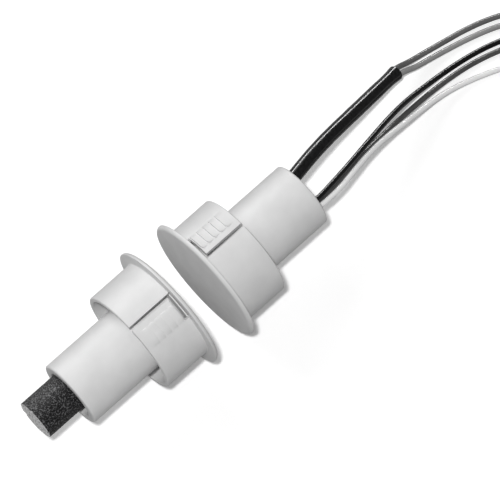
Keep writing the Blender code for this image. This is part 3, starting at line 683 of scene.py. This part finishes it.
@dataclass
class SpareCoil:
    """The leads' spare length: five lanes wound side by side, each turn on the one below."""

    mouth: Mouth
    beyond_mouth: float = 88.2
    middle_radius: float = 12.8
    layer: float = 1.33
    rest_height: float = 0.65
    rise_start: float = 212.0
    rise_end: float = 262.0
    tie_angle: float = 60.0
    tie_lift: float = 0.58
    tie_squeeze: float = 0.13
    wander: float = 0.25

    def place(self, lane: float, travelled: float) -> Vector:
        """Point on a lane after an angle of winding.

        Args:
            lane: The lane's radius in millimetres.
            travelled: Degrees wound since the leads came in on the coil's -Y side.

        Returns:
            The point in metres.
        """
        turns, part = divmod(travelled, 360.0)
        rise = ease((part - self.rise_start) / (self.rise_end - self.rise_start))
        angle = math.radians(travelled - 90.0)
        from_tie = (math.degrees(angle) - self.tie_angle + 180.0) % 360.0 - 180.0
        at_tie = 1.0 - ease((abs(from_tie) - 12.0) / 26.0)
        radius = self.middle_radius + (lane - self.middle_radius) * (1.0 - self.tie_squeeze * at_tie)
        settled = ease(travelled / 60.0) * (1.0 - at_tie)
        radius += self.wander * settled * math.sin(math.radians(2.0 * travelled + 40.0 * turns))
        height = self.rest_height + self.layer * (turns + rise) + self.tie_lift * at_tie
        return self.mouth.free_points([(self.beyond_mouth + radius * math.cos(angle),
                                        radius * math.sin(angle), height)])[0]

    def winding(self, lane: float, length: float) -> Route:
        """Points along a lane until its length is used up.

        Args:
            lane: The lane's radius in millimetres.
            length: Metres to wind.

        Returns:
            The points, without the entry itself.
        """
        route = [self.place(lane, 0.0)]
        wound = 0.0
        travelled = 0.0
        while wound < length:
            travelled += 3.0
            route.append(self.place(lane, travelled))
            wound += (route[-1] - route[-2]).length
        return route[1:]


class Way(Enum):
    """How a lead leaves the barrel."""

    BARE = 0
    SLEEVED_UPPER = 1
    SLEEVED_LOWER = -1


@dataclass
class Lead:
    """A free hook-up lead: out of the potting, down to the floor and into the coil."""

    node: str
    slot: str
    finish: Finish
    way: Way
    exit_place: Across
    free: tuple[Corner, ...]
    diameter: float = 1.3
    length: float = 305.0
    stripped: float = 6.0
    spacing: float = 0.9

    def lane(self) -> float:
        """The lane that the lead takes in the coil, from where its route comes in."""
        return -self.free[-1][1]

    def route(self, coil: SpareCoil, sleeve: "Sleeve") -> Route:
        """Even points down the whole lead, its stripped tip included.

        Args:
            coil: Where the spare length goes.
            sleeve: What the loop leads run through.

        Returns:
            The points in metres.
        """
        first = coil.mouth.exit_point(self.exit_place)
        points = [first - Vector((1.5 * MM, 0.0, 0.0)), first]
        if self.way is not Way.BARE:
            points = sleeve.beside(self.way.value * (self.diameter / 2 + 0.01))
        points += coil.mouth.free_points(self.free)
        to_coil = smooth_route(points, self.spacing * MM)
        rest = self.length * MM - route_length(to_coil)
        return even_route(to_coil + coil.winding(self.lane(), rest), self.spacing * MM)

    def build(self, coil: SpareCoil, sleeve: "Sleeve", metal: bpy.types.Material) -> bpy.types.Object:
        """Make the jacket as a round cord and the stripped tip as twisted strands.

        Args:
            coil: Where the spare length goes.
            sleeve: What the loop leads run through.
            metal: The strands' material.

        Returns:
            The jacket.
        """
        route = self.route(coil, sleeve)
        bare = round(self.stripped / self.spacing)
        cord = round_cord(f"{self.node}_cord", route[:-bare], self.diameter / 2 * MM, self.finish.build())
        tip = self.tip(route[-bare - 2:], metal)
        seat(cord, self.slot, self.node, "lead_coil")
        seat(tip, "tinned_copper")
        exit_point = tuple(coil.mouth.exit_point(self.exit_place))
        LOG.info("%s runs %.0f mm", cord.name, route_length(route) / MM)
        return cord

    def tip(self, route: Route, metal: bpy.types.Material) -> bpy.types.Object:
        """Twist seven tinned strands along the stripped end.

        Args:
            route: The lead's last points.
            metal: The strands' material.

        Returns:
            The tip.
        """
        strand = 0.08 * MM
        lay = 5.0 * MM
        fine = even_route(route, 0.25 * MM)
        curve = bpy.data.curves.new(f"{self.node}_tip", "CURVE")
        curve.dimensions, curve.bevel_depth, curve.bevel_resolution = "3D", strand, 2
        curve.use_fill_caps = True
        for number in range(7):
            spline = curve.splines.new("POLY")
            spline.points.add(len(fine) - 1)
            for index, place in enumerate(fine):
                ahead = (fine[min(index + 1, len(fine) - 1)] - fine[max(index - 1, 0)]).normalized()
                side = ahead.cross(Vector((0.0, 0.0, 1.0))).normalized()
                turn = math.tau * (number / 6.0 + index * 0.25 * MM / lay)
                out = side * math.cos(turn) + side.cross(ahead) * math.sin(turn)
                spline.points[index].co = (*(place + out * (strand * 2.05 if number < 6 else 0.0)), 1.0)
        return as_mesh(curve, metal)


def round_cord(name: str, route: Route, radius: float, finish: bpy.types.Material) -> bpy.types.Object:
    """Round cord as a curve of one open spline.

    Args:
        name: The piece's name.
        route: Points down its middle.
        radius: Half its diameter.
        finish: Its material.

    Returns:
        The curve object.
    """
    curve = bpy.data.curves.new(name, "CURVE")
    curve.dimensions, curve.bevel_depth, curve.bevel_resolution = "3D", radius, 4
    curve.use_fill_caps = True
    spline = curve.splines.new("POLY")
    spline.points.add(len(route) - 1)
    for point, place in zip(spline.points, route):
        point.co = (*place, 1.0)
    spline.use_smooth = True
    curve.materials.append(finish)
    made = bpy.data.objects.new(name, curve)
    bpy.context.scene.collection.objects.link(made)
    return made


def as_mesh(curve: bpy.types.Curve, finish: bpy.types.Material) -> bpy.types.Object:
    """Turn a curve into a smooth mesh piece of the same name.

    Args:
        curve: The curve, removed here.
        finish: The piece's material.

    Returns:
        The mesh object.
    """
    name = curve.name
    drawn = bpy.data.objects.new(f"{name}_drawn", curve)
    mesh = bpy.data.meshes.new_from_object(drawn)
    bpy.data.objects.remove(drawn)
    bpy.data.curves.remove(curve)
    shape = bmesh.new()
    shape.from_mesh(mesh)
    bpy.data.meshes.remove(mesh)
    bmesh.ops.remove_doubles(shape, verts=shape.verts, dist=TOUCH)
    return finish_mesh(name, shape, finish)


@dataclass
class Sleeve:
    """Heat-shrunk sleeve over the two loop leads, open and slightly flared at its free end."""

    mouth: Mouth
    radius: float = 1.65
    wall: float = 0.22
    neck: float = 1.60
    flare: float = 1.80
    lip: float = 0.06
    stations: tuple[Corner, ...] = (
        (7.1, 4.97, 16.06), (13.2, 5.92, 14.58), (19.3, 6.72, 12.47), (25.3, 7.52, 10.07),
        (31.3, 8.34, 7.61), (37.2, 9.11, 5.20),
    )
    exit_place: Across = (3.6, 1.0)
    piece: bpy.types.Object | None = field(default=None, repr=False)

    def controls(self) -> Route:
        """Places that the sleeve's middle passes, from inside the potting."""
        first = self.mouth.exit_point(self.exit_place)
        inner = first - Vector((1.5 * MM, 0.05 * MM, 0.0))
        return [inner, first, *self.mouth.free_points(self.stations)]

    def beside(self, across: float) -> Route:
        """Control places of a lead that runs beside the sleeve's middle, short of its free end.

        Args:
            across: Offset in millimetres, positive towards +Y.

        Returns:
            The shifted places.
        """
        middle = self.controls()
        shifted = []
        for index, place in enumerate(middle[:-1]):
            ahead = (middle[index + 1] - middle[max(index - 1, 0)]).normalized()
            shifted.append(place - ahead.cross(Vector((0.0, 0.0, 1.0))).normalized() * across * MM)
        return shifted

    def build(self, finish: bpy.types.Material) -> bpy.types.Object:
        """Sweep the sleeve's outer wall, its lip and its inner wall in one skin.

        Args:
            finish: The sleeve's material.

        Returns:
            The finished piece.
        """
        middle = smooth_route(self.controls(), 0.45 * MM)
        length = route_length(middle)
        outer = []
        for index, place in enumerate(middle):
            left = (1.0 - index / (len(middle) - 1)) * length / MM
            radius = self.radius + (self.neck - self.radius) * (1.0 - ease(abs(left - 4.5) / 4.0))
            radius += (self.flare - self.radius) * (1.0 - ease(left / 2.5))
            radius += 0.03 * noise.noise(place / MM * 0.5)
            outer.append(radius)
        rings = list(zip(range(len(middle)), outer))
        last = len(middle) - 1
        rings += [(last, outer[-1] - self.lip), (last, outer[-1] - self.wall)]
        rings += [(index, outer[index] - self.wall) for index in range(last - 1, -1, -1)]
        shape = sweep_rings(middle, rings, 40)
        self.piece = seat(finish_mesh("sleeve_tube", shape, finish), "black_polyolefin", "heat_shrink_sleeve")
        return self.piece


def sweep_rings(middle: Route, rings: list[tuple[int, float]], sides: int) -> bmesh.types.BMesh:
    """Skin rings along a line by extruding one circle from each to the next.

    Args:
        middle: Points down the middle in metres.
        rings: Index of the point and radius in millimetres of each ring.
        sides: Points in a ring.

    Returns:
        The skin.
    """
    def stand(index: int, radius: float) -> Matrix:
        """Frame of a ring, its X axis along the line."""
        ahead = (middle[min(index + 1, len(middle) - 1)] - middle[max(index - 1, 0)]).normalized()
        side = Vector((0.0, 0.0, 1.0)).cross(ahead).normalized()
        turn = Matrix((side, ahead.cross(side), ahead)).transposed().to_4x4()
        return Matrix.Translation(middle[index]) @ turn @ Matrix.Scale(radius * MM, 4)

    shape = bmesh.new()
    here = stand(*rings[0])
    bmesh.ops.create_circle(shape, segments=sides, radius=1.0, cap_ends=False, matrix=here)
    edges = list(shape.edges)
    for ring in rings[1:]:
        following = stand(*ring)
        drawn = bmesh.ops.extrude_edge_only(shape, edges=edges)["geom"]
        verts = [item for item in drawn if isinstance(item, bmesh.types.BMVert)]
        edges = [item for item in drawn if isinstance(item, bmesh.types.BMEdge)
                 and all(vert in verts for vert in item.verts)]
        bmesh.ops.transform(shape, matrix=following @ here.inverted(), space=Matrix.Identity(4), verts=verts)
        here = following
    close_up(shape)
    return shape


@dataclass
class CableTie:
    """Nylon tie round the coil: band, ratchet head and cut tail."""

    width: float = 2.4
    thickness: float = 0.6
    inner: tuple[float, float] = (8.8, 5.3)
    corner: float = 1.1
    head: tuple[float, float, float] = (3.0, 4.0, 3.2)
    angle: float = 60.0
    middle: float = 12.9
    tail: float = 3.0

    def build(self, coil: SpareCoil, finish: bpy.types.Material) -> bpy.types.Object:
        """Bend the band, set its head and tail, and stand it on the coil.

        Args:
            coil: What it holds.
            finish: The nylon's material.

        Returns:
            The finished piece.
        """
        wide, high = self.inner
        shape = bmesh.new()
        bmesh.ops.create_grid(shape, x_segments=1, y_segments=1, size=0.5 * MM)
        bmesh.ops.scale(shape, vec=(wide + 2 * self.thickness, high + 2 * self.thickness, 1.0), verts=shape.verts)
        bmesh.ops.bevel(shape, geom=list(shape.verts), offset=self.corner * MM, segments=6, profile=0.5,
                        affect="VERTICES", material=-1)
        outline = list(shape.faces)
        bmesh.ops.inset_region(shape, faces=outline, thickness=self.thickness * MM, use_even_offset=True,
                               use_boundary=True)
        bmesh.ops.delete(shape, geom=outline, context="FACES")
        band = bmesh.ops.extrude_face_region(shape, geom=list(shape.faces))["geom"]
        bmesh.ops.translate(shape, vec=(0.0, 0.0, self.width * MM),
                            verts=[item for item in band if isinstance(item, bmesh.types.BMVert)])
        bmesh.ops.recalc_face_normals(shape, faces=shape.faces)
        bmesh.ops.translate(shape, vec=(0.0, 0.0, -self.width / 2 * MM), verts=shape.verts)
        self.add_block(shape, self.head, (wide / 2 + self.thickness + self.head[0] / 2 - 0.3, 0.0, 0.0), 0.35)
        self.add_block(shape, (self.thickness, self.tail, self.width * 0.92),
                       (wide / 2 + self.thickness + self.head[0] / 2, self.head[1] / 2 + self.tail / 2 - 0.2, 0.0),
                       0.12)
        stand = Matrix.Rotation(math.radians(self.angle), 4, "Z") @ Matrix.Translation(
            (self.middle * MM, 0.0, (high / 2 + self.thickness) * MM)) @ Matrix.Rotation(math.pi / 2, 4, "X")
        spot = Matrix.Translation(coil.mouth.free_points([(coil.beyond_mouth, 0.0, 0.0)])[0])
        bmesh.ops.transform(shape, matrix=spot @ stand, space=Matrix.Identity(4), verts=shape.verts)
        return seat(finish_mesh("coil_tie_band", shape, finish), "black_nylon", "coil_tie")

    def add_block(self, shape: bmesh.types.BMesh, size: Corner, place: Corner, edge: float) -> None:
        """Add a block with rounded edges.

        Args:
            shape: What takes the block.
            size: Its size in millimetres.
            place: Its middle in millimetres.
            edge: Radius of its edges.
        """
        spot = Matrix.Translation(Vector(place) * MM) @ Matrix.Diagonal((*(Vector(size) * MM), 1.0))
        made = bmesh.ops.create_cube(shape, size=1.0, matrix=spot)["verts"]
        around = list({line for vert in made for line in vert.link_edges})
        bmesh.ops.bevel(shape, geom=around, offset=edge * MM, segments=3, profile=0.5, affect="EDGES", material=-1)


def dress_nodes(finishes: dict[str, bpy.types.Material]) -> None:
    """Give the CAD nodes that stay their real finish.

    Args:
        finishes: The material by node name.
    """
    for name, finish in finishes.items():
        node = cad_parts[name]
        if not node.material_slots:
            node.data.materials.append(finish)
        for holder in node.material_slots:
            holder.material = finish
        LOG.info("%s keeps its CAD shape in %s", name, finish.name)


@dataclass
class Studio:
    """Pale floor, soft lamps and the camera at the photograph's angle."""

    target: Corner = (21.465, -2.0, 15.385)
    azimuth: float = -42.95
    elevation: float = 71.85
    distance: float = 945.8
    lens: float = 312.3
    floor_size: float = 3.0
    floor_drop: float = 0.02
    floor_paint: float = 0.97
    floor_bounce: float = 0.50
    floor_glow: float = 0.18
    ambient: float = 0.13
    front_power: float = 8.5
    key_power: float = 4.1
    edge_power: float = 10.0

    def axes(self) -> tuple[Vector, Vector, Vector]:
        """The camera's right, up and backward directions."""
        turn, tilt = math.radians(self.azimuth), math.radians(self.elevation)
        back = Vector((math.sin(turn) * math.cos(tilt), -math.cos(turn) * math.cos(tilt), math.sin(tilt)))
        right = Vector((0.0, 0.0, 1.0)).cross(back).normalized()
        return right, back.cross(right), back

    def build(self) -> None:
        """Set the whole studio up."""
        self.add_camera()
        self.add_floor()
        self.add_world()
        right, up, back = self.axes()
        middle = Vector(self.target) * MM
        upper_left = (up - right).normalized()
        front = self.add_lamp("front_lamp", middle, back + 0.085 * upper_left, 1.1, (0.06, 0.06), self.front_power)
        front.visible_glossy = False
        self.add_lamp("key_lamp", middle, Vector((-0.08, 0.80, 0.56)), 1.1, (0.8, 0.8), self.key_power)
        edge = self.add_lamp("edge_lamp", middle, Vector((0.25, 0.83, 0.40)), 0.8, (1.1, 0.09), self.edge_power)
        edge.matrix_world = edge.matrix_world @ Matrix.Rotation(math.radians(19.0), 4, "Z")
        edge.visible_diffuse = False
        bpy.context.scene.view_settings.view_transform = "Standard"

    def add_camera(self) -> None:
        """Stand the camera where the photograph was taken."""
        right, up, back = self.axes()
        data = bpy.data.cameras.new("photo_camera")
        data.lens, data.sensor_width, data.clip_start, data.clip_end = self.lens, 36.0, 0.01, 10.0
        camera = bpy.data.objects.new("photo_camera", data)
        camera.matrix_world = (Matrix.Translation((Vector(self.target) + back * self.distance) * MM)
                               @ Matrix((right, up, back)).transposed().to_4x4())
        bpy.context.scene.collection.objects.link(camera)
        bpy.context.scene.camera = camera

    def add_lamp(self, name: str, middle: Vector, towards: Vector, distance: float, size: tuple[float, float],
                 power: float) -> bpy.types.Object:
        """Hang a soft lamp that looks at the object.

        Args:
            name: The lamp's name.
            middle: What it looks at.
            towards: Direction from there to the lamp.
            distance: How far away it hangs.
            size: Its width and height in metres.
            power: Its power in watts.

        Returns:
            The lamp.
        """
        data = bpy.data.lights.new(name, "AREA")
        data.shape, data.energy = "RECTANGLE", power
        data.size, data.size_y = size
        lamp = bpy.data.objects.new(name, data)
        direction = towards.normalized()
        lamp.matrix_world = (Matrix.Translation(middle + direction * distance)
                             @ direction.to_track_quat("Z", "Y").to_matrix().to_4x4())
        bpy.context.scene.collection.objects.link(lamp)
        return lamp

    def add_floor(self) -> None:
        """Lay a pale matt floor that shows white to the camera and keeps shadows."""
        shape = bmesh.new()
        bmesh.ops.create_grid(shape, x_segments=1, y_segments=1, size=self.floor_size / 2)
        bmesh.ops.translate(shape, vec=(0.0, 0.0, -self.floor_drop * MM), verts=shape.verts)
        matt = bpy.data.materials.new("matt_floor")
        matt.use_nodes = True
        tree = matt.node_tree
        tree.nodes.clear()
        path = add_node(tree, "ShaderNodeLightPath", {}, {})
        plain = add_node(tree, "ShaderNodeBsdfDiffuse", {"Color": (self.floor_bounce,) * 3 + (1.0,)}, {})
        paint = add_node(tree, "ShaderNodeBsdfDiffuse", {"Color": (self.floor_paint,) * 3 + (1.0,)}, {})
        glow = add_node(tree, "ShaderNodeEmission", {"Strength": self.floor_glow}, {})
        shown = add_node(tree, "ShaderNodeAddShader", {}, {0: paint.outputs[0], 1: glow.outputs[0]})
        mixed = add_node(tree, "ShaderNodeMixShader", {},
                         {0: path.outputs["Is Camera Ray"], 1: plain.outputs[0], 2: shown.outputs[0]})
        add_node(tree, "ShaderNodeOutputMaterial", {}, {"Surface": mixed.outputs[0]})
        finish_mesh("studio_floor", shape, matt)

    def add_world(self) -> None:
        """Fill softly from all round and show white behind the floor."""
        world = bpy.data.worlds.new("studio_world")
        bpy.context.scene.world = world
        world.use_nodes = True
        tree = world.node_tree
        tree.nodes.clear()
        path = add_node(tree, "ShaderNodeLightPath", {}, {})
        level = add_node(tree, "ShaderNodeMapRange", {"To Min": self.ambient, "To Max": 1.0},
                         {"Value": path.outputs["Is Camera Ray"]})
        sky = add_node(tree, "ShaderNodeBackground", {"Color": (1.0, 1.0, 1.0, 1.0)},
                       {"Strength": level.outputs[0]})
        add_node(tree, "ShaderNodeOutputWorld", {}, {"Surface": sky.outputs[0]})


BLACK_FREE = (
    (2.0, -3.02, 15.57), (7.1, -2.46, 15.12), (12.1, -1.69, 14.17), (16.9, -0.76, 12.89),
    (21.7, 0.23, 11.33), (26.5, 1.21, 9.52), (31.2, 2.04, 7.46), (35.8, 2.57, 5.32),
    (40.6, 2.75, 3.38), (45.5, 2.70, 1.90), (50.5, 2.30, 0.98), (55.5, 1.42, 0.65),
    (60.4, -0.01, 0.65), (65.1, -1.93, 0.65), (69.7, -4.28, 0.65), (74.2, -6.88, 0.65),
    (78.7, -9.47, 0.65), (83.3, -11.64, 0.65), (88.2, -12.80, 0.65),
)
GREY_FREE = (
    (2.7, -3.21, 13.73), (7.7, -2.71, 13.17), (12.5, -1.87, 12.05), (17.2, -1.15, 10.55),
    (21.9, -0.54, 8.82), (26.5, 0.00, 6.99), (31.3, 0.53, 5.25), (36.2, 0.86, 3.80),
    (41.2, 1.03, 2.52), (46.1, 0.93, 1.49), (51.0, 0.39, 0.88), (55.8, -0.66, 0.65),
    (60.6, -2.24, 0.65), (65.2, -4.33, 0.65), (69.7, -6.77, 0.65), (74.1, -9.36, 0.65),
    (78.6, -11.78, 0.65), (83.2, -13.65, 0.65), (88.2, -14.40, 0.65),
)
WHITE_FREE = (
    (2.0, -4.60, 14.98), (7.1, -4.36, 14.42), (12.0, -3.43, 13.48), (16.7, -2.47, 12.11),
    (21.5, -1.77, 10.44), (26.2, -1.38, 8.58), (31.0, -1.22, 6.67), (35.7, -1.01, 4.72),
    (40.5, -0.98, 2.99), (45.2, -1.53, 1.70), (50.0, -2.67, 0.88), (54.7, -4.34, 0.65),
    (59.4, -6.37, 0.65), (64.1, -8.51, 0.65), (68.8, -10.59, 0.65), (73.5, -12.51, 0.65),
    (78.2, -14.17, 0.65), (83.1, -15.44, 0.65), (88.2, -16.00, 0.65),
)
UPPER_LOOP_FREE = (
    (37.6, 9.97, 5.00), (42.2, 9.57, 2.77), (47.1, 8.99, 1.47), (52.1, 8.20, 0.65),
    (57.1, 7.09, 0.65), (62.0, 5.57, 0.65), (66.6, 3.57, 0.65), (71.0, 1.07, 0.65),
    (75.2, -1.87, 0.65), (79.3, -4.96, 0.65), (83.5, -7.72, 0.65), (88.2, -9.60, 0.65),
)
LOWER_LOOP_FREE = (
    (37.7, 8.34, 5.00), (42.3, 7.75, 2.75), (47.1, 7.07, 1.45), (51.9, 6.14, 0.81),
    (56.8, 4.88, 0.65), (61.7, 3.23, 0.65), (66.3, 1.16, 0.65), (70.7, -1.32, 0.65),
    (74.9, -4.14, 0.65), (79.1, -7.06, 0.65), (83.5, -9.63, 0.65), (88.2, -11.20, 0.65),
)


def main() -> None:
    """Build the contact's pieces in order, then the studio."""
    logging.basicConfig(level=logging.INFO, format="%(name)s %(message)s")
    mouth = Mouth()
    sleeve = Sleeve(mouth)
    sleeve.build(SHRUNK_POLYOLEFIN.build())
    coil = SpareCoil(mouth)
    tinned = TINNED_COPPER.build()
    upper_exit = (sleeve.exit_place[0] + 0.66, sleeve.exit_place[1])
    lower_exit = (sleeve.exit_place[0] - 0.66, sleeve.exit_place[1])
    leads = [
        Lead("black_lead", "black_pvc", BLACK_PVC, Way.BARE, (-2.8, 0.5), BLACK_FREE),
        Lead("dark_grey_lead", "dark_grey_pvc", DARK_GREY_PVC, Way.BARE, (-3.1, -1.3), GREY_FREE),
        Lead("white_lead", "white_pvc", WHITE_PVC, Way.BARE, (-4.2, -0.1), WHITE_FREE),
        Lead("upper_loop_lead", "mid_grey_pvc", MID_GREY_PVC, Way.SLEEVED_UPPER, upper_exit, UPPER_LOOP_FREE),
        Lead("lower_loop_lead", "light_grey_pvc", LIGHT_GREY_PVC, Way.SLEEVED_LOWER, lower_exit, LOWER_LOOP_FREE),
    ]
    for lead in leads:
        lead.build(coil, sleeve, tinned)

    white = MOULDED_ABS.build()
    Moulding("switch_moulding", "switch_housing", 3.0, False).build(white)
    Moulding("magnet_moulding", "magnet_housing", 5.0, True).build(white)
    Magnet().build(CAST_ALNICO.build(), GROUND_ALNICO.build())
    resin = CAST_EPOXY.build()
    exits = [(*lead.exit_place, lead.diameter / 2) for lead in leads if lead.way is Way.BARE]
    Potting(mouth).build(resin, [*exits, (*sleeve.exit_place, sleeve.radius)])
    CableTie().build(coil, MOULDED_NYLON.build())

    nickel = NICKEL_IRON.build()
    solder = SOLDER.build()
    dress_nodes({
        "magnet_adhesive": resin, "reed_glass": DRAWN_GLASS.build(), "reed_common_blade": nickel,
        "reed_open_contact": nickel, "reed_closed_contact": nickel, "common_solder_joint": solder,
        "open_solder_joint": solder, "closed_solder_joint": solder, "loop_splice": tinned,
    })
    Studio().build()


if __name__ == "__main__":
    main()
